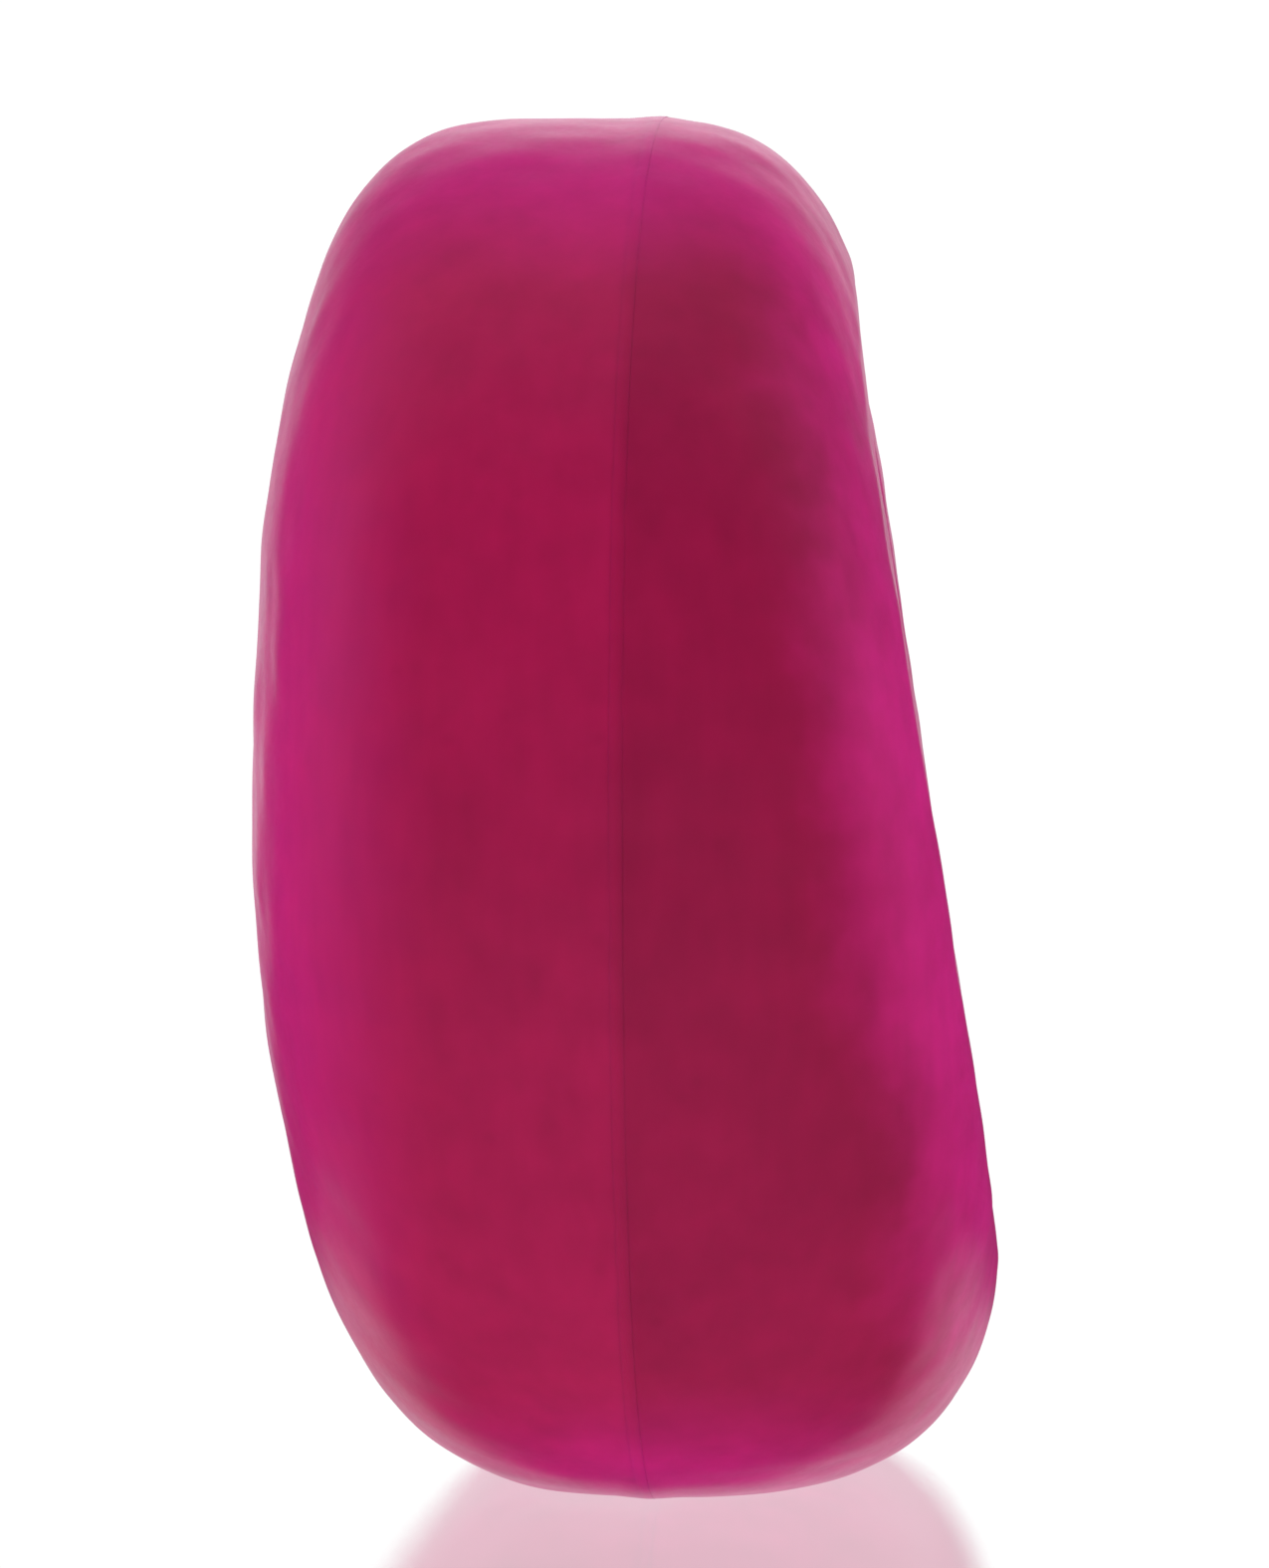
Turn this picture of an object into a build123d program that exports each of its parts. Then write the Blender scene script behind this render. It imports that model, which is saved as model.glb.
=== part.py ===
from build123d import *
import os
from math import cos, pi, sin

# Silicone cupping cup, standing on the flat foot at its lower edge.
# The cup's own axis lies along X: the closed dome faces -X and the open mouth faces +X.
# Z is up, and the cup is symmetric about the XZ plane. Lengths are in millimetres.
# Shapes are first made with the parting plane at X = 0 and are moved once, at the end,
# so that the origin is at the middle of the bottom of the whole cup.

# Overall size
axis_height = 34.75          # cup axis above the foot
half_width = 35.0            # from the axis to either side, along Y
upper_reach = 35.25          # from the axis to the top
lower_reach = 35.75          # from the axis to the bottom, before the foot is cut flat
upper_squareness = 2.15      # exponent of the rounded-square section, at the top
lower_squareness = 2.5       # the same at the bottom, where the cup is a little squarer

# Dome half: (distance / depth)^along + (radius / full radius)^across = 1
dome_depth = 20.2
dome_along = (2.8, 5.7)      # exponents at the bottom and at the top
dome_across = (2.3, 1.93)

# Mouth half: the same law, cut off before it closes by the flat land of the lip
mouth_full_depth = 14.85
mouth_depth = 13.8
mouth_along = (2.65, 2.4)
mouth_across = (4.25, 8.0)
mouth_lean = 0.153           # slope of the mouth plane, reached evenly from the parting plane

# Walls and cavity
side_wall = 4.5
crown_wall = 3.6
neck_start = 9.4             # where the shoulder inside the mouth half ends
shoulder_along = 3.0
shoulder_across = 2.2
throat_bore = 21.5           # radius of the round throat
throat_rise = 2.4            # how far the throat's centre is above the cup's axis
throat_round = 2.0           # radius of the lip's inner edge

# Where one piece ends and the next begins
pad_radius = 11.0
flexure_radius = 24.0
shell_end = 7.6              # from the parting plane
cushion_end = 10.3

# Seam bead, half sunk in a rebate that both halves share
bead_half_width = 0.8
bead_proud = 0.2
bead_depth = 1.2

RING_POINTS = 36
FAR = 100.0


def between(ends, angle):
    """Value at an angle round the axis, from the bottom's value to the top's."""
    bottom, top = ends
    return bottom + (top - bottom) * (1 + sin(angle)) / 2


def section_radius(angle, grown=0.0):
    """Radius of the rounded-square section at the parting plane, grown evenly."""
    power = between((lower_squareness, upper_squareness), angle)
    wide = abs(cos(angle)) / (half_width + grown)
    tall = abs(sin(angle)) / (between((lower_reach, upper_reach), angle) + grown)
    return (wide ** power + tall ** power) ** (-1 / power)


def dome_share(angle, x, depth):
    """Share of the full radius that is left at distance x on the dome side."""
    along = between(dome_along, angle)
    return (1 - (x / depth) ** along) ** (1 / between(dome_across, angle))


def mouth_radius(angle, x):
    """Outer radius at distance x on the mouth side."""
    along = between(mouth_along, angle)
    share = (1 - (x / mouth_full_depth) ** along) ** (1 / between(mouth_across, angle))
    return section_radius(angle) * share


def throat_radius(angle, x):
    """Cavity radius at distance x on the mouth side: shoulder, throat and rounded lip edge."""
    across = throat_rise * cos(angle)
    throat = throat_rise * sin(angle) + (throat_bore ** 2 - across ** 2) ** 0.5
    if x < neck_start:
        share = (1 - (x / neck_start) ** shoulder_along) ** (1 / shoulder_across)
        return throat + (section_radius(angle, -side_wall) - throat) * share
    into_round = min(max(0.0, x - (mouth_depth - throat_round)), throat_round)
    return throat + throat_round - (throat_round ** 2 - into_round ** 2) ** 0.5


def ring(x, radius, lean=0.0):
    """Closed flat curve round the axis; the plane through X = x leans as given."""
    points = []
    for step in range(RING_POINTS):
        angle = 2 * pi * step / RING_POINTS
        reach = radius(angle)
        height = reach * sin(angle)
        points.append((x - lean * height, reach * cos(angle), axis_height + height))
    return Wire([Edge.make_spline([Vector(*p) for p in points], periodic=True)])


def dome_block(depth, grown):
    """Closed dome from the parting plane to its apex, as a solid block."""
    across = sum(dome_across) / 2
    along = sum(dome_along) / 2
    rings = []
    for share in (1.0, 0.999, 0.985, 0.95, 0.9, 0.82, 0.7, 0.55, 0.38, 0.22, 0.08):
        x = depth * (1 - share ** across) ** (1 / along)
        rings.append(ring(-x, lambda a, x=x: section_radius(a, grown) * dome_share(a, x, depth)))
    return Solid.make_loft(rings)


def mouth_block(radius, start, end, steps=6):
    """Solid block on the mouth side between two stations, with the given radius law."""
    rings = []
    for step in range(steps + 1):
        x = start + (end - start) * step / steps
        rings.append(ring(x, lambda a, x=x: radius(a, x), mouth_lean * x / mouth_depth))
    return Solid.make_loft(rings)


def core(radius):
    """Cylinder round the cup's axis, through the dome."""
    return Solid.make_cylinder(radius, FAR, Plane((-FAR, 0, axis_height), z_dir=(1, 0, 0)))


def above_floor(shape):
    """Cuts the foot flat at Z = 0."""
    return shape - Pos(0, 0, -FAR / 2) * Box(2 * FAR, 2 * FAR, FAR)


def bead_groove():
    """Space that the seam bead takes, from its root out past the cup."""
    root = ring(-bead_half_width, lambda a: section_radius(a, -bead_depth))
    rim = ring(-bead_half_width, lambda a: section_radius(a, 2.0))
    along = Vector(2 * bead_half_width, 0, 0)
    return Solid.extrude(Face(rim), along) - Solid.extrude(Face(root), along)


def seam_bead():
    """Low rounded bead along the parting line, sunk in the groove."""
    rings = []
    for step in (-1.0, -0.5, 0.0, 0.5, 1.0):
        proud = bead_proud * (1 - step ** 2)
        rings.append(ring(step * bead_half_width, lambda a, p=proud: section_radius(a, p)))
    root = ring(-bead_half_width, lambda a: section_radius(a, -bead_depth))
    core_block = Solid.extrude(Face(root), Vector(2 * bead_half_width, 0, 0))
    return above_floor(Solid.make_loft(rings) - core_block)


def dome_pieces():
    """The closed half: side shell, thin flexure round the crown, and the press pad."""
    cavity = dome_block(dome_depth - crown_wall, -side_wall)
    wall = above_floor(dome_block(dome_depth, 0.0)) - cavity
    shell = wall - core(flexure_radius) - bead_groove()
    flexure = (wall & core(flexure_radius)) - core(pad_radius)
    return {"dome_shell": shell, "crown_flexure": flexure, "crown_pad": wall & core(pad_radius)}


def mouth_zone(start, end, steps):
    """One zone of the open half's wall."""
    return mouth_block(mouth_radius, start, end) - mouth_block(throat_radius, start, end, steps)


def mouth_pieces():
    """The open half: side shell, soft neck behind the lip, and the lip itself."""
    return {
        "mouth_shell": above_floor(mouth_zone(0.0, shell_end, 6) - bead_groove()),
        "lip_cushion": mouth_zone(shell_end, cushion_end, 8),
        "sealing_lip": mouth_zone(cushion_end, mouth_depth, 12),
    }


pieces = {**dome_pieces(), "seam_bead": seam_bead(), **mouth_pieces()}

lip_reach = mouth_depth + mouth_lean * mouth_radius(-pi / 2, mouth_depth)
to_middle = Pos((dome_depth - lip_reach) / 2, 0, 0)

os.makedirs("parts", exist_ok=True)
for name, shape in pieces.items():
    moved = to_middle * shape
    export_step(moved, "parts/" + name + ".step")
    print(name, round(moved.volume, 1), moved.is_valid)
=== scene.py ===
import math

import bpy
import numpy as np
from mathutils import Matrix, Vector


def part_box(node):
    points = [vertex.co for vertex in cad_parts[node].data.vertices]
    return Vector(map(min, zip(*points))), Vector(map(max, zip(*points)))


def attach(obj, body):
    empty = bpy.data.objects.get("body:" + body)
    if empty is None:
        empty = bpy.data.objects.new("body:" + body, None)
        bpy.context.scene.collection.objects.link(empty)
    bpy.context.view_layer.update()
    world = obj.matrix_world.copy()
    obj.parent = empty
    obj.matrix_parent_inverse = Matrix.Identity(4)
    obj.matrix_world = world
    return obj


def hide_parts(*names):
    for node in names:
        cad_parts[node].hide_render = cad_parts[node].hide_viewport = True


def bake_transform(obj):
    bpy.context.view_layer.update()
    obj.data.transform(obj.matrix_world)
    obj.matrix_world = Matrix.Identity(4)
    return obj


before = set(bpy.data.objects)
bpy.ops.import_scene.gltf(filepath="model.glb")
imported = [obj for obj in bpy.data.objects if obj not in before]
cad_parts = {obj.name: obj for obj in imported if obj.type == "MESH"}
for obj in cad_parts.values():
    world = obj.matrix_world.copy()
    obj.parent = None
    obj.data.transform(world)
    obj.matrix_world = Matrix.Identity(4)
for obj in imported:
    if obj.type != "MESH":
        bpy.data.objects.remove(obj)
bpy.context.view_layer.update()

# A soft silicone cupping cup that stands on its edge. The cup's own axis lies along X, with the
# closed dome towards -X and the mouth towards +X. Lengths are in metres.

MM = 0.001

# Places and sizes read from the frame
seam_low, seam_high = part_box("seam_bead")
pad_low, pad_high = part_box("crown_pad")
shell_low, shell_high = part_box("mouth_shell")

SEAM_X = (seam_low.x + seam_high.x) / 2
AXIS_Z = (pad_low.z + pad_high.z) / 2
HALF_WIDTH = (shell_high.y - shell_low.y) / 2
UPPER_REACH = shell_high.z - AXIS_Z
LOWER_REACH = UPPER_REACH + 0.5 * MM          # the foot cuts this side flat
DOME_DEPTH = SEAM_X - pad_low.x

# The shape's laws, the same as the solid model's. Pairs hold the bottom's value and the top's.
SECTION_POWER = (2.5, 2.15)
DOME_ALONG, DOME_ACROSS = (2.8, 5.7), (2.3, 1.93)
MOUTH_ALONG, MOUTH_ACROSS = (2.65, 2.4), (4.25, 8.0)
MOUTH_LEAN = 0.153
MOUTH_DEPTH = 13.8 * MM
MOUTH_FULL_DEPTH = 14.85 * MM
SIDE_WALL, CROWN_WALL = 4.5 * MM, 3.6 * MM
NECK_START = 9.4 * MM
SHOULDER_ALONG, SHOULDER_ACROSS = 3.0, 2.2
THROAT_BORE, THROAT_RISE, THROAT_ROUND = 21.5 * MM, 2.4 * MM, 2.0 * MM

# How fine the meshes are
AROUND = 400                                  # points round the cup's axis
DOME_ROWS, LINING_ROWS, BACK_ROWS = 150, 110, 40
WALL_ROWS, LAND_ROWS, FACE_ROWS = 90, 20, 4   # rows of the mouth half's closed profile
RIDGE_POINTS = 24                             # points round the seam ridge's own section
SHARP_ANGLE = math.radians(60)                # corners turned further than this are not smoothed

# How the skins are made
SKIN = 1.3 * MM                               # thickness that a dome skin is given
LIP_ROUNDS = 14                               # how often the lip's corners are softened
LIP_FIRST_ROW, LIP_LAST_ROW = 61, 149         # rows of the profile that are softened
EVEN_FROM_ROW, EVEN_BY_ROW = 96, 120          # rows over which the unevenness fades out
APEX_CALM = 12                                # how sharply the unevenness fades at the apex

# Unevenness: pairs hold wave lengths and their heights
BROAD_LENGTHS, BROAD_HEIGHTS = (26 * MM, 13 * MM), (0.11 * MM, 0.06 * MM)
SMALL_LENGTHS, SMALL_HEIGHTS = (6 * MM, 3.4 * MM), (0.034 * MM, 0.015 * MM)
WAVES_PER_LENGTH = 7
SWELL, SWELL_HALF_WIDTH = 0.12 * MM, 1.8 * MM # swelling along the moulding line
RIDGE_HALF_WIDTH, RIDGE_PROUD, RIDGE_SUNK = 0.30 * MM, 0.015 * MM, 1.2 * MM
FOOT_STEP = 0.35 * MM                         # how far the dome half's foot is above the table
FOOT_STEP_FROM, FOOT_STEP_TO = -1.0 * MM, 2.5 * MM
FOOT_ROUND = 0.25 * MM                        # how softly the foot's flat begins

# Tones of the silicone, with painted shade on the mouth half and painted light towards the edges
# painted shade: the mouth half's tone is darker than the dome half's, standing in for the dome half
# catching more side light
DOME_TONE, MOUTH_SHADED_TONE = (0.375, 0.0046, 0.071), (0.305, 0.0038, 0.056)
# painted light: a lighter, pinker tone that stands in for side and back light glowing through the cup's
# edges
PAINTED_EDGE_LIGHT_TONE = (0.50, 0.0050, 0.170)

# Strengths of the studio's light
TENT_FRONT, TENT_BACK = 0.48, 1.85
TENT_TURN = math.radians(8)                   # the tent's back is turned this far towards the dome
PLAIN_LIGHT, WARM_FRONT, COOL_BACK = (1.0, 1.0, 1.0), (1.0, 1.0, 0.85), (0.98, 0.98, 1.10)
WHITE = 1.02                                  # a bare white surface, as the camera sees it
DIM_GLOSS, PANEL_GLOSS, BACKDROP_GLOSS = 0.04, 1.8, 1.25
TABLE_LIGHT, TABLE_BRIGHT_GLOSS, UNDER_SHARE = 1.2, 1.6, 0.5
MIRROR_SHARE, FROST = 0.55, 0.06
TABLE_REACH = 3.0

# Camera
CAMERA_AZIMUTH, CAMERA_ELEVATION, CAMERA_DISTANCE = math.radians(6.2), math.radians(1.6), 200 * MM
CAMERA_TARGET = (SEAM_X - 8.56 * MM, 0, 35 * MM)
AIM_RIGHT, AIM_UP = 6.76 * MM, 0.45 * MM
SEEN_HEIGHT = 83.25 * MM                      # height of the picture at the target's distance


# Surfaces -------------------------------------------------------------------------------------

def between(ends, angle):
    """Value at each angle round the axis, going evenly from the bottom's to the top's."""
    return ends[0] + (ends[1] - ends[0]) * (1 + np.sin(angle)) / 2


def smooth_share(value, low, high):
    """Goes from nothing at low to one at high, by 3s^2 - 2s^3."""
    share = np.clip((value - low) / (high - low), 0, 1)
    return share * share * (3 - 2 * share)


def all_round():
    """Angles round the cup's axis, from the bottom, as one row."""
    return np.linspace(-math.pi / 2, 3 * math.pi / 2, AROUND, endpoint=False)[None, :]


def section_radius(angle, grown=0.0):
    """Rounded square: (|cos| / half width)^n + (|sin| / half height)^n, to the power -1/n."""
    power = between(SECTION_POWER, angle)
    wide = np.abs(np.cos(angle)) / (HALF_WIDTH + grown)
    tall = np.abs(np.sin(angle)) / (between((LOWER_REACH, UPPER_REACH), angle) + grown)
    return (wide ** power + tall ** power) ** (-1 / power)


def placed(x, radius, angle, lean=0.0):
    """Points at distance x past the seam and at a radius round the axis, leaning by
    x -= lean * rise."""
    rise = radius * np.sin(angle)
    return np.stack([SEAM_X + x - lean * rise, radius * np.cos(angle) + 0 * x, AXIS_Z + rise + 0 * x], -1)


def dome_sheet(rows, depth, grown):
    """Superellipse cap. With t from 0 to a quarter turn, the distance from the seam is
    depth * sin(t)^(2/along) and the radius is the section's times cos(t)^(2/across). t is spaced
    so that the rows are nearly even from the seam to the apex."""
    angle = all_round()
    along, across = between(DOME_ALONG, angle), between(DOME_ACROSS, angle)
    step = np.linspace(0, 1, rows)[:, None]
    near, far = step ** (along / 2), (1 - step) ** (across / 2)
    turn = math.pi / 2 * near / (near + far)
    x = depth * np.sin(turn) ** (2 / along)
    share = np.clip(np.cos(turn), 0, 1) ** (2 / across)
    return placed(-x, section_radius(angle, grown) * share, angle)


def mouth_outside(distance, angle):
    """Outer radius on the mouth side: section * (1 - (x / full depth)^along)^(1 / across)."""
    along, across = between(MOUTH_ALONG, angle), between(MOUTH_ACROSS, angle)
    return section_radius(angle) * (1 - (distance / MOUTH_FULL_DEPTH) ** along) ** (1 / across)


def mouth_inside(distance, angle):
    """Cavity radius on the mouth side: a superellipse shoulder down to the round throat, and a
    quarter round where the throat meets the land."""
    across = THROAT_RISE * np.cos(angle)
    throat = THROAT_RISE * np.sin(angle) + np.sqrt(THROAT_BORE ** 2 - across ** 2)
    near = np.clip(distance / NECK_START, 0, 1)
    shoulder = (1 - near ** SHOULDER_ALONG) ** (1 / SHOULDER_ACROSS)
    into_round = np.clip(distance - (MOUTH_DEPTH - THROAT_ROUND), 0, THROAT_ROUND)
    edge = THROAT_ROUND - np.sqrt(THROAT_ROUND ** 2 - into_round ** 2)
    return throat + (section_radius(angle, -SIDE_WALL) - throat) * shoulder + edge


def lean_at(distance):
    """Slope of the ring at a distance: none at the seam, the mouth plane's at the lip."""
    return MOUTH_LEAN * distance / MOUTH_DEPTH


def soft_waves(points, sizes, heights, seed):
    """Sum of plane sine waves in random directions: soft, even unevenness with the given wave
    lengths and heights."""
    rng = np.random.default_rng(seed)
    total = np.zeros(points.shape[:-1])
    for length, height in zip(sizes, heights):
        for _ in range(WAVES_PER_LENGTH):
            direction = rng.normal(size=3)
            direction /= np.linalg.norm(direction)
            stretch = rng.uniform(0.75, 1.3)
            wave = points @ direction * (2 * math.pi / (length * stretch)) + rng.uniform(0, 2 * math.pi)
            total += height / WAVES_PER_LENGTH ** 0.5 * np.sin(wave)
    return total


def outer_waves(points):
    """Unevenness of the moulded outside: broad lumps, small lumps that make the highlights waver,
    and a low swelling, cos^2 of the distance, along the moulding line."""
    broad = soft_waves(points, BROAD_LENGTHS, BROAD_HEIGHTS, 4)
    small = soft_waves(points, SMALL_LENGTHS, SMALL_HEIGHTS, 9)
    off_seam = np.clip(np.abs(points[..., 0] - SEAM_X) / SWELL_HALF_WIDTH, 0, 1)
    return broad + small + SWELL * np.cos(off_seam * math.pi / 2) ** 2


def uneven(points, normal, waves):
    """Points moved outwards by the waves' height."""
    return points + normal * waves[..., None]


def foot_flat(points):
    """Presses the lowest part flat: z becomes a smooth maximum of z and the foot's height. The cup
    stands on its mouth half, and the dome half's foot is a hair higher."""
    past_seam = smooth_share(points[..., 0] - SEAM_X, FOOT_STEP_FROM, FOOT_STEP_TO)
    foot = FOOT_STEP * (1 - past_seam)
    z = points[..., 2] - foot
    points[..., 2] = foot + (z + np.sqrt(z * z + FOOT_ROUND * FOOT_ROUND)) / 2
    return points


def soften_rows(points, share, rounds):
    """Rounds a closed profile's corners: each point moves towards its two neighbours' middle,
    by a share that differs along the profile."""
    for _ in range(rounds):
        middle = (np.roll(points, 1, 0) + np.roll(points, -1, 0)) / 2
        points = points + (middle - points) * share
    return points


def grid_normals(points, closed_rows):
    """Unit normals of a grid: the cross product of its two central differences."""
    if closed_rows:
        down = np.roll(points, -1, 0) - np.roll(points, 1, 0)
    else:
        down = np.gradient(points, axis=0)
    round_ = np.roll(points, -1, 1) - np.roll(points, 1, 1)
    normal = np.cross(round_, down)
    length = np.linalg.norm(normal, axis=-1, keepdims=True)
    return normal / np.maximum(length, 1e-12)


# Meshes ---------------------------------------------------------------------------------------

def grid_faces(count, columns, closed_rows):
    """Quads between neighbouring rows of points, round the axis."""
    row = np.arange(count if closed_rows else count - 1)[:, None]
    column = np.arange(columns)[None, :]
    below, right = (row + 1) % count, (column + 1) % columns
    return np.stack([row * columns + column, row * columns + right,
                     below * columns + right, below * columns + column], -1).reshape(-1, 4).tolist()


def pole_faces(count, columns):
    """Fans of triangles from the first row and the last row to the two poles that follow them."""
    first, last = count * columns, count * columns + 1
    edge = np.arange(columns)
    ahead = (edge + 1) % columns
    base = (count - 1) * columns
    near = np.stack([ahead, edge, np.full(columns, first)], -1).tolist()
    return near + np.stack([base + edge, base + ahead, np.full(columns, last)], -1).tolist()


def make_mesh(name, points, closed_rows):
    """Grid of points into a mesh that is closed round the axis. Rows either close on themselves,
    or the first and last rows shrink to poles. Each point keeps its place at rest, so that the
    tones stay with the material when the cup is pressed."""
    body = points if closed_rows else points[1:-1]
    count, columns = body.shape[:2]
    vertices = body.reshape(-1, 3)
    faces = grid_faces(count, columns, closed_rows)
    if not closed_rows:
        vertices = np.vstack([vertices, points[0].mean(0), points[-1].mean(0)])
        faces += pole_faces(count, columns)
    mesh = bpy.data.meshes.new(name)
    mesh.from_pydata(vertices.tolist(), [], faces)
    mesh.polygons.foreach_set("use_smooth", np.ones(len(mesh.polygons), bool))
    mesh.set_sharp_from_angle(angle=SHARP_ANGLE)
    rest_place = mesh.attributes.new("rest_place", "FLOAT_VECTOR", "POINT")
    rest_place.data.foreach_set("vector", np.ravel(vertices))
    mesh.update()
    piece = bpy.data.objects.new(name, mesh)
    bpy.context.scene.collection.objects.link(piece)
    return piece


def volume(piece):
    """Signed volume that a mesh encloses: positive where its faces point outwards."""
    mesh = piece.data
    mesh.calc_loop_triangles()
    corners = np.empty(len(mesh.loop_triangles) * 3, np.int32)
    mesh.loop_triangles.foreach_get("vertices", corners)
    points = np.empty(len(mesh.vertices) * 3)
    mesh.vertices.foreach_get("co", points)
    a, b, c = points.reshape(-1, 3)[corners.reshape(-1, 3)].transpose(1, 0, 2)
    return float(np.einsum("ij,ij->i", a, np.cross(b, c)).sum() / 6)


def face_out(piece):
    """Turns the faces over if they point inwards."""
    if volume(piece) < 0:
        piece.data.flip_normals()
    return piece


def cap_piece(name, sheet, back):
    """Closed skin from two caps: from the first one's apex out to the seam, across the edge, and
    back along the second one to its own apex."""
    return face_out(make_mesh(name, np.concatenate([sheet[::-1], back]), closed_rows=False))


# Pieces ---------------------------------------------------------------------------------------

def press_with_crown(piece):
    """Bakes a dome skin's placement into its mesh."""
    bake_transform(piece)


def make_dome_skin():
    """Outside of the dome, slightly uneven except at the apex, on a smooth hidden back."""
    sheet = dome_sheet(DOME_ROWS, DOME_DEPTH, 0.0)
    normal = -grid_normals(sheet, False)
    normal[-1] = (-1.0, 0.0, 0.0)
    from_apex = 1 - np.linspace(0, 1, DOME_ROWS)[:, None]
    calm = np.clip(from_apex * APEX_CALM, 0, 1)
    sheet = foot_flat(uneven(sheet, normal, outer_waves(sheet) * calm))
    back = dome_sheet(BACK_ROWS, DOME_DEPTH - SKIN, -SKIN)
    back[..., 2] = np.maximum(back[..., 2], SKIN)
    piece = cap_piece("dome_skin", sheet, back)
    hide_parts("dome_shell", "crown_flexure", "crown_pad")
    press_with_crown(piece)
    return piece


def make_dome_lining():
    """Smooth inside of the dome, on a hidden back towards the outer skin."""
    inner_depth = DOME_DEPTH - CROWN_WALL
    sheet = dome_sheet(LINING_ROWS, inner_depth, -SIDE_WALL)
    back = dome_sheet(BACK_ROWS, inner_depth + SKIN, SKIN - SIDE_WALL)
    piece = cap_piece("dome_lining", back, sheet)
    press_with_crown(piece)
    return piece


def mouth_profile(angle):
    """Closed profile of the open half's wall at each angle: out along the outside, over the land of
    the lip, back down the throat and the shoulder, and across the seam face."""
    step = np.linspace(0, 1, WALL_ROWS)[:, None]
    out, back = MOUTH_DEPTH * (1 - (1 - step) ** 1.5), MOUTH_DEPTH * (1 - step ** 1.5)
    outside = placed(out, mouth_outside(out, angle), angle, lean_at(out))
    inside = placed(back, mouth_inside(back, angle), angle, lean_at(back))
    land_step = np.linspace(0, 1, LAND_ROWS + 2)[1:-1, None]
    rim, bore = mouth_outside(MOUTH_DEPTH, angle), mouth_inside(MOUTH_DEPTH, angle)
    land = placed(MOUTH_DEPTH, rim + (bore - rim) * land_step, angle, MOUTH_LEAN)
    face_step = np.linspace(0, 1, FACE_ROWS + 2)[1:-1, None]
    start, end = mouth_inside(0.0, angle), mouth_outside(0.0, angle)
    face = placed(0.0, start + (end - start) * face_step, angle)
    return np.concatenate([outside, land, inside, face])


def outward_normals(points, angle):
    """Normals of the open half that point out of its wall, judged on the outside near the seam."""
    normal = grid_normals(points, True)
    near_seam = slice(0, 40)
    middle = placed(MOUTH_DEPTH / 2, (THROAT_BORE + HALF_WIDTH) / 2 + 0 * angle, angle)
    outwards = np.einsum("ijk,ijk->ij", normal[near_seam], (points - middle)[near_seam]).mean()
    return np.sign(outwards) * normal


def make_mouth_skin():
    """Open half as one closed ring of wall, with softened lip corners and an uneven outside."""
    angle = all_round()
    points = mouth_profile(angle)
    row = np.arange(len(points))
    lip_rows = (row >= LIP_FIRST_ROW) & (row <= LIP_LAST_ROW)
    points = soften_rows(points, np.where(lip_rows, 0.5, 0.0)[:, None, None], LIP_ROUNDS)
    uneven_share = np.clip((EVEN_BY_ROW - row) / (EVEN_BY_ROW - EVEN_FROM_ROW), 0, 1)[:, None]
    waves = outer_waves(points) * uneven_share
    points = foot_flat(uneven(points, outward_normals(points, angle), waves))
    piece = face_out(make_mesh("mouth_skin", points, closed_rows=True))
    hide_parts("mouth_shell", "lip_cushion", "sealing_lip")
    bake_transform(piece)
    return piece


def make_seam_ridge():
    """Hairline along the moulding line: a closed tube round the section at the seam. Its own
    section is a low bell, sin^4 of the turn, on half an ellipse sunk between the halves."""
    angle = all_round()
    turn = np.linspace(0, 2 * math.pi, RIDGE_POINTS, endpoint=False)[:, None]
    height = np.where(np.sin(turn) > 0, RIDGE_PROUD * np.sin(turn) ** 4, RIDGE_SUNK * np.sin(turn))
    seam_line = placed(0 * angle, section_radius(angle), angle)
    radius = section_radius(angle) + outer_waves(seam_line) + height
    points = foot_flat(placed(RIDGE_HALF_WIDTH * np.cos(turn), radius, angle))
    piece = face_out(make_mesh("seam_ridge", points, closed_rows=True))
    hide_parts("seam_bead")
    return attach(piece, "cup")


# Node helpers ---------------------------------------------------------------------------------

def wire(tree, source, target):
    """Joins an output to an input, or sets the input where the source is a plain number."""
    if isinstance(source, (int, float)):
        target.default_value = source
    else:
        tree.links.new(source, target)


def soft_step(tree, value, low, high, bottom=0.0, top=1.0):
    """Value that goes smoothly from bottom to top while another one goes from low to high."""
    ramp = tree.nodes.new("ShaderNodeMapRange")
    ramp.interpolation_type = "SMOOTHSTEP"
    for name, number in (("From Min", low), ("From Max", high), ("To Min", bottom), ("To Max", top)):
        ramp.inputs[name].default_value = number
    wire(tree, value, ramp.inputs["Value"])
    return ramp.outputs["Result"]


def sum_of(tree, operation, first, second=0.0, third=0.0):
    """One step of arithmetic."""
    node = tree.nodes.new("ShaderNodeMath")
    node.operation = operation
    for value, socket in zip((first, second, third), node.inputs):
        wire(tree, value, socket)
    return node.outputs["Value"]


def swayed(tree, value, noise_value, reach):
    """Value moved up and down by a noise, by half the reach each way."""
    lowered = sum_of(tree, "SUBTRACT", value, reach / 2)
    return sum_of(tree, "MULTIPLY_ADD", noise_value, reach, lowered)


def choose(tree, share, first, second):
    """Number that goes from the first to the second with a share."""
    node = tree.nodes.new("ShaderNodeMix")
    for value, socket in zip((share, first, second), (node.inputs[0], node.inputs[2], node.inputs[3])):
        wire(tree, value, socket)
    return node.outputs[0]


def blend_colours(tree, share, first, second):
    """Colour that goes from the first to the second with a share."""
    node = tree.nodes.new("ShaderNodeMix")
    node.data_type = "RGBA"
    wire(tree, share, node.inputs[0])
    for colour, socket in ((first, node.inputs[6]), (second, node.inputs[7])):
        if isinstance(colour, tuple):
            socket.default_value = (*colour, 1)
        else:
            tree.links.new(colour, socket)
    return node.outputs[2]


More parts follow.
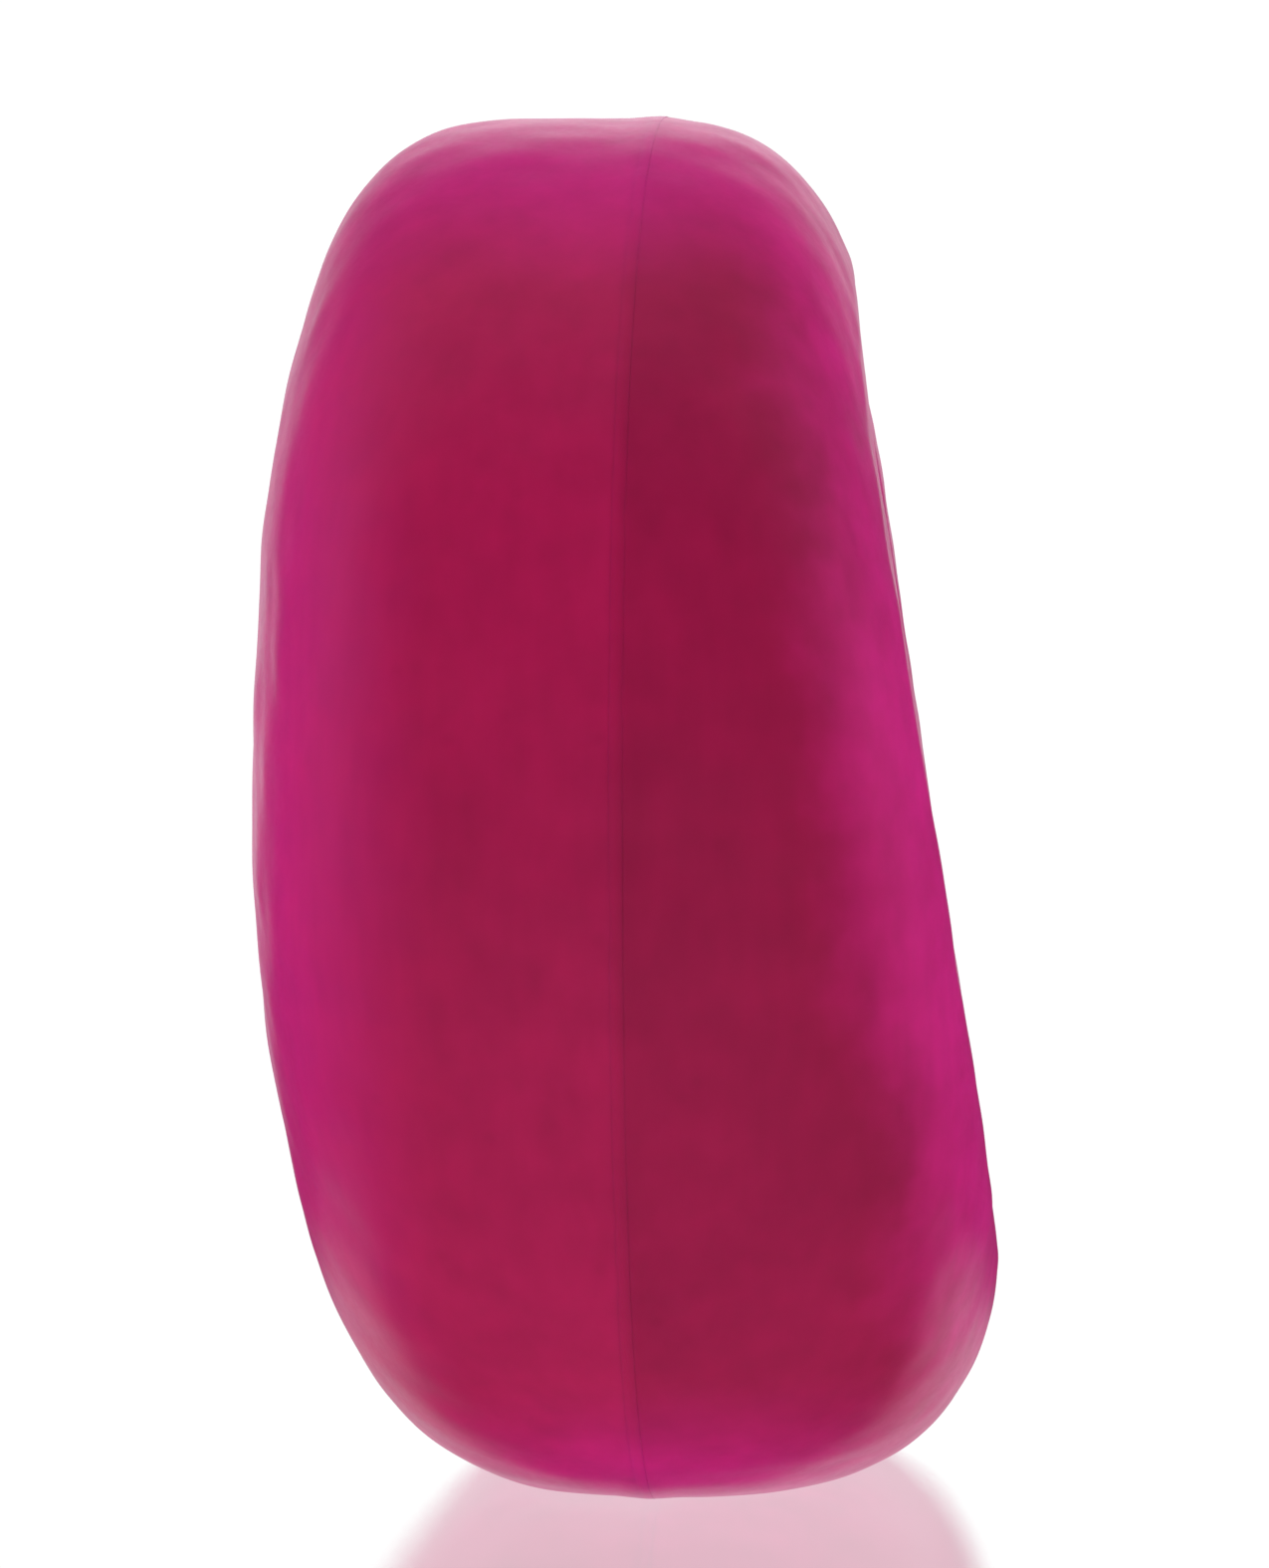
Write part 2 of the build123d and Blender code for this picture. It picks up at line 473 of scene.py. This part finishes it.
def noise(tree, place, size, detail):
    """Cloudy noise between nothing and one, with lumps of about 1 / size."""
    node = tree.nodes.new("ShaderNodeTexNoise")
    node.inputs["Detail"].default_value = detail
    wire(tree, size, node.inputs["Scale"])
    wire(tree, place, node.inputs["Vector"])
    return node.outputs["Fac"]


def glow(tree, strength):
    """Even white light of a given strength."""
    node = tree.nodes.new("ShaderNodeEmission")
    wire(tree, strength, node.inputs["Strength"])
    return node.outputs["Emission"]


def either(tree, share, first, second):
    """Mixes two shaders by a share of the second."""
    node = tree.nodes.new("ShaderNodeMixShader")
    wire(tree, share, node.inputs["Fac"])
    wire(tree, first, node.inputs[1])
    wire(tree, second, node.inputs[2])
    return node.outputs["Shader"]


# Silicone -------------------------------------------------------------------------------------

def flow_marks(group, place):
    """Fine streaks that run steeply across the cup, as left by the silicone filling its mould."""
    turned = group.nodes.new("ShaderNodeMapping")
    turned.inputs["Rotation"].default_value = (0, math.radians(28), 0)
    turned.inputs["Scale"].default_value = (1100, 1100, 190)
    wire(group, place, turned.inputs["Vector"])
    return noise(group, turned.outputs["Vector"], 1.0, 2)


def away_from_pits(group, place, pit_size):
    """Nothing in the middle of each scattered pit and one everywhere else."""
    cells = group.nodes.new("ShaderNodeTexVoronoi")
    wire(group, place, cells.inputs["Vector"])
    wire(group, pit_size, cells.inputs["Scale"])
    return soft_step(group, cells.outputs["Distance"], 0.02, 0.14)


def painted_edge_light(group, x, z, cloud, blotch):
    """Share of painted light: how close a point is to the crown, the lip, or the top or bottom edge, with
    a cloudy border.
    """
    cloudy_x = swayed(group, swayed(group, x, cloud, 5.0 * MM), blotch, 2.4 * MM)
    crown = soft_step(group, cloudy_x, SEAM_X - 8.0 * MM, SEAM_X - 19.0 * MM)
    rise = sum_of(group, "SUBTRACT", z, AXIS_Z)
    towards_lip = sum_of(group, "MULTIPLY_ADD", rise, MOUTH_LEAN, cloudy_x)
    lip = soft_step(group, towards_lip, SEAM_X + 7.5 * MM, SEAM_X + 14.5 * MM)
    ends = sum_of(group, "MAXIMUM", crown, lip)
    off_axis = sum_of(group, "ABSOLUTE", sum_of(group, "SUBTRACT", z, AXIS_Z - 1.2 * MM))
    edge = soft_step(group, swayed(group, off_axis, cloud, 4.0 * MM), 24.5 * MM, 33.5 * MM)
    both = sum_of(group, "ADD", ends, edge)
    return sum_of(group, "SUBTRACT", both, sum_of(group, "MULTIPLY", ends, edge))


def silicone_surface_group():
    """Shared effect of the silicone. Shade is a mottled lightness with flow marks, darker in the middle
    of each small pit;
    Painted Edge Light is the share of painted light, by how close a point is to the crown, the lip, or
    the top or bottom edge;
    Mouth Half says which moulding it is in and carries the mouth half's painted shade; Gloss is fine
    grain, and Height is grain with flow marks and small pits."""
    group = bpy.data.node_groups.new("silicone_surface", "ShaderNodeTree")
    face = group.interface
    sizes = (("Cloud Size", 70.0), ("Blotch Size", 420.0), ("Grain Size", 2500.0), ("Pit Size", 260.0))
    for name, value in sizes:
        face.new_socket(name, in_out="INPUT", socket_type="NodeSocketFloat").default_value = value
    for name in ("Shade", "Edges", "Mouth Half", "Gloss", "Height"):
        face.new_socket(name, in_out="OUTPUT", socket_type="NodeSocketFloat")
    given = group.nodes.new("NodeGroupInput").outputs
    result = group.nodes.new("NodeGroupOutput").inputs
    rest = group.nodes.new("ShaderNodeAttribute")
    rest.attribute_name = "rest_place"
    place = rest.outputs["Vector"]
    parts = group.nodes.new("ShaderNodeSeparateXYZ")
    wire(group, place, parts.inputs["Vector"])
    x, z = parts.outputs["X"], parts.outputs["Z"]

    cloud = noise(group, place, given["Cloud Size"], 3)
    blotch = noise(group, place, given["Blotch Size"], 4)
    grain = noise(group, place, given["Grain Size"], 4)
    flow = flow_marks(group, place)
    clear_of_pits = away_from_pits(group, place, given["Pit Size"])

    shade = sum_of(group, "MULTIPLY_ADD", cloud, 0.34, 0.55)
    # the colour is darker in the middle of each small pit
    for part, share in ((blotch, 0.30), (flow, 0.16), (clear_of_pits, 0.06)):
        shade = sum_of(group, "MULTIPLY_ADD", part, share, shade)
    marks = sum_of(group, "MULTIPLY_ADD", flow, 0.6, clear_of_pits)
    wire(group, shade, result["Shade"])
    # painted light: the share of the lighter, pinker edge tone
    wire(group, painted_edge_light(group, x, z, cloud, blotch), result["Edges"])
    # share of the mouth half's painted shade, across a soft step at the seam
    wire(group, soft_step(group, x, SEAM_X - 0.6 * MM, SEAM_X + 0.6 * MM), result["Mouth Half"])
    wire(group, grain, result["Gloss"])
    wire(group, sum_of(group, "MULTIPLY_ADD", grain, 0.35, marks), result["Height"])
    return group


def magenta_silicone(effect):
    """Satin, slightly translucent silicone: crimson in its walls, with painted light making it lighter
    and pinker towards the crown, the lip and the top and bottom edges.
    The mouth half is painted a little darker than the dome half, as painted shade for the dome half
    catching more side light."""
    material = bpy.data.materials.new("magenta_silicone")
    material.use_nodes = True
    tree = material.node_tree
    shader = tree.nodes["Principled BSDF"]
    shader.inputs["IOR"].default_value = 1.41
    shader.inputs["Specular IOR Level"].default_value = 0.22
    shader.inputs["Subsurface Weight"].default_value = 0.25
    shader.inputs["Subsurface Radius"].default_value = (1.0, 0.2, 0.45)
    shader.inputs["Subsurface Scale"].default_value = 1.2 * MM

    surface = tree.nodes.new("ShaderNodeGroup")
    surface.node_tree = effect
    # painted shade: the mouth half is given a darker tone than the dome half
    walls = blend_colours(tree, surface.outputs["Mouth Half"], DOME_TONE, MOUTH_SHADED_TONE)
    # painted light: the colour turns lighter and pinker towards the crown, the lip and the top and bottom
    # edges
    colour = blend_colours(tree, surface.outputs["Edges"], walls, PAINTED_EDGE_LIGHT_TONE)
    mottled = tree.nodes.new("ShaderNodeVectorMath")
    mottled.operation = "SCALE"
    wire(tree, colour, mottled.inputs[0])
    wire(tree, surface.outputs["Shade"], mottled.inputs["Scale"])
    wire(tree, mottled.outputs["Vector"], shader.inputs["Base Color"])

    rough = tree.nodes.new("ShaderNodeMapRange")
    rough.inputs["To Min"].default_value = 0.28
    rough.inputs["To Max"].default_value = 0.40
    wire(tree, surface.outputs["Gloss"], rough.inputs["Value"])
    wire(tree, rough.outputs["Result"], shader.inputs["Roughness"])

    bump = tree.nodes.new("ShaderNodeBump")
    bump.inputs["Strength"].default_value = 0.25
    bump.inputs["Distance"].default_value = 0.02 * MM
    wire(tree, surface.outputs["Height"], bump.inputs["Height"])
    wire(tree, bump.outputs["Normal"], shader.inputs["Normal"])
    return material


# Studio ---------------------------------------------------------------------------------------

def look_at(thing, place, target):
    """Puts a camera at a place and aims it at a target."""
    thing.location = place
    thing.rotation_mode = "QUATERNION"
    thing.rotation_quaternion = (Vector(target) - Vector(place)).to_track_quat("-Z", "Y")


def share_towards_back(tree, place):
    """How far a place or a direction reaches towards the back of the tent."""
    node = tree.nodes.new("ShaderNodeVectorMath")
    node.operation = "DOT_PRODUCT"
    node.inputs[1].default_value = (-math.sin(TENT_TURN), math.cos(TENT_TURN), 0)
    wire(tree, place, node.inputs[0])
    return node.outputs["Value"]


def frosted_normal(tree, place):
    """Upright normal tilted at random by a grain too fine to see, which blurs a mirror image."""
    grain = tree.nodes.new("ShaderNodeTexWhiteNoise")
    wire(tree, place, grain.inputs["Vector"])
    tilt = tree.nodes.new("ShaderNodeVectorMath")
    tilt.operation = "MULTIPLY_ADD"
    wire(tree, grain.outputs["Color"], tilt.inputs[0])
    tilt.inputs[1].default_value = (FROST, FROST, 0)
    tilt.inputs[2].default_value = (-FROST / 2, -FROST / 2, 1)
    upright = tree.nodes.new("ShaderNodeVectorMath")
    upright.operation = "NORMALIZE"
    wire(tree, tilt.outputs["Vector"], upright.inputs[0])
    return upright.outputs["Vector"]


def table_as_seen(tree, place, distance):
    """White, and near the cup in part a soft mirror image."""
    mirror = tree.nodes.new("ShaderNodeBsdfGlossy")
    mirror.inputs["Color"].default_value = (1, 1, 1, 1)
    mirror.inputs["Roughness"].default_value = 0.0
    wire(tree, frosted_normal(tree, place), mirror.inputs["Normal"])
    near_cup = soft_step(tree, distance, 260 * MM, 120 * MM, top=MIRROR_SHARE)
    return either(tree, near_cup, glow(tree, WHITE), mirror.outputs["BSDF"])


def table_in_gloss(tree, place, distance):
    """Dim, but for a bright strip straight behind the cup and a patch under it."""
    behind = share_towards_back(tree, place)
    strip = soft_step(tree, sum_of(tree, "DIVIDE", behind, distance), 0.90, 0.98)
    close = soft_step(tree, distance, 60 * MM, 20 * MM)
    under = sum_of(tree, "MULTIPLY", close, soft_step(tree, behind, -17 * MM, -14 * MM))
    bright = sum_of(tree, "MAXIMUM", strip, sum_of(tree, "MULTIPLY", under, UNDER_SHARE))
    return glow(tree, sum_of(tree, "MULTIPLY_ADD", bright, TABLE_BRIGHT_GLOSS, DIM_GLOSS))


def make_floor():
    """White light table, with one look for the camera, one in the cup's gloss, and one even light
    on the cup's walls."""
    mesh = bpy.data.meshes.new("floor")
    low, high = -TABLE_REACH, TABLE_REACH
    mesh.from_pydata([(low, low, 0), (high, low, 0), (high, high, 0), (low, high, 0)], [], [(0, 1, 2, 3)])
    floor = bpy.data.objects.new("floor", mesh)
    bpy.context.scene.collection.objects.link(floor)
    material = bpy.data.materials.new("white_light_table")
    material.use_nodes = True
    tree = material.node_tree
    tree.nodes.remove(tree.nodes["Principled BSDF"])
    place = tree.nodes.new("ShaderNodeTexCoord").outputs["Object"]
    length = tree.nodes.new("ShaderNodeVectorMath")
    length.operation = "LENGTH"
    wire(tree, place, length.inputs[0])
    distance = length.outputs["Value"]

    path = tree.nodes.new("ShaderNodeLightPath").outputs
    gloss = table_in_gloss(tree, place, distance)
    lighting = either(tree, path["Is Glossy Ray"], glow(tree, TABLE_LIGHT), gloss)
    shown = either(tree, path["Is Camera Ray"], lighting, table_as_seen(tree, place, distance))
    wire(tree, shown, tree.nodes["Material Output"].inputs["Surface"])
    material.cycles.emission_sampling = "NONE"
    mesh.materials.append(material)


def tent_in_gloss(tree, aside, y, z):
    """Dim, but for the backdrop and a wide soft panel above it."""
    panel = sum_of(tree, "MULTIPLY", soft_step(tree, y, 0.66, 0.97), soft_step(tree, z, 0.05, 0.3))
    panel = sum_of(tree, "MULTIPLY", panel, soft_step(tree, aside, 0.10, 0.45, bottom=1.0, top=0.25))
    panel = sum_of(tree, "MULTIPLY", panel, PANEL_GLOSS)
    backdrop = soft_step(tree, y, 0.915, 0.94, top=BACKDROP_GLOSS)
    return sum_of(tree, "MAXIMUM", sum_of(tree, "MAXIMUM", panel, backdrop), DIM_GLOSS)


def make_surroundings():
    """White tent, open and dimmer in front, where its light is warmer. The camera and sharp mirror
    images see it plain white."""
    world = bpy.data.worlds.new("white_tent")
    bpy.context.scene.world = world
    world.use_nodes = True
    world.cycles.sampling_method = "NONE"
    tree = world.node_tree
    ground = tree.nodes["Background"]
    direction = tree.nodes.new("ShaderNodeTexCoord").outputs["Generated"]
    parts = tree.nodes.new("ShaderNodeSeparateXYZ")
    wire(tree, direction, parts.inputs["Vector"])
    aside = sum_of(tree, "ABSOLUTE", parts.outputs["X"])
    y, z = share_towards_back(tree, direction), parts.outputs["Z"]
    path = tree.nodes.new("ShaderNodeLightPath").outputs

    tent = soft_step(tree, y, -0.75, 0.15, bottom=TENT_FRONT, top=TENT_BACK)
    lighting = choose(tree, path["Is Glossy Ray"], tent, tent_in_gloss(tree, aside, y, z))
    bare = sum_of(tree, "MAXIMUM", path["Is Camera Ray"], path["Is Singular Ray"])
    wire(tree, choose(tree, bare, lighting, WHITE), ground.inputs["Strength"])

    tint = blend_colours(tree, soft_step(tree, y, -0.75, 0.15), WARM_FRONT, COOL_BACK)
    untinted = sum_of(tree, "MAXIMUM", path["Is Camera Ray"], path["Is Glossy Ray"])
    wire(tree, blend_colours(tree, untinted, tint, PLAIN_LIGHT), ground.inputs["Color"])


def make_camera():
    """Lens a little above the cup's middle and a little to the mouth's side of square."""
    flat = math.cos(CAMERA_ELEVATION)
    back = Vector((math.sin(CAMERA_AZIMUTH) * flat, -math.cos(CAMERA_AZIMUTH) * flat,
                   math.sin(CAMERA_ELEVATION)))
    right = Vector((math.cos(CAMERA_AZIMUTH), math.sin(CAMERA_AZIMUTH), 0))
    data = bpy.data.cameras.new("camera")
    data.sensor_width = 36
    data.lens = data.sensor_width * CAMERA_DISTANCE / SEEN_HEIGHT
    data.clip_start, data.clip_end = 0.01, 20
    camera = bpy.data.objects.new("camera", data)
    bpy.context.scene.collection.objects.link(camera)
    target = Vector(CAMERA_TARGET)
    aim = target + right * AIM_RIGHT + Vector((0, 0, AIM_UP))
    look_at(camera, target + back * CAMERA_DISTANCE, aim)
    bpy.context.scene.camera = camera


bpy.context.scene.view_settings.view_transform = "Standard"

make_camera()
make_floor()
make_surroundings()

pieces = [make_dome_skin(), make_dome_lining(), make_mouth_skin(), make_seam_ridge()]
silicone = magenta_silicone(silicone_surface_group())
for piece in pieces:
    piece.data.materials.append(silicone)
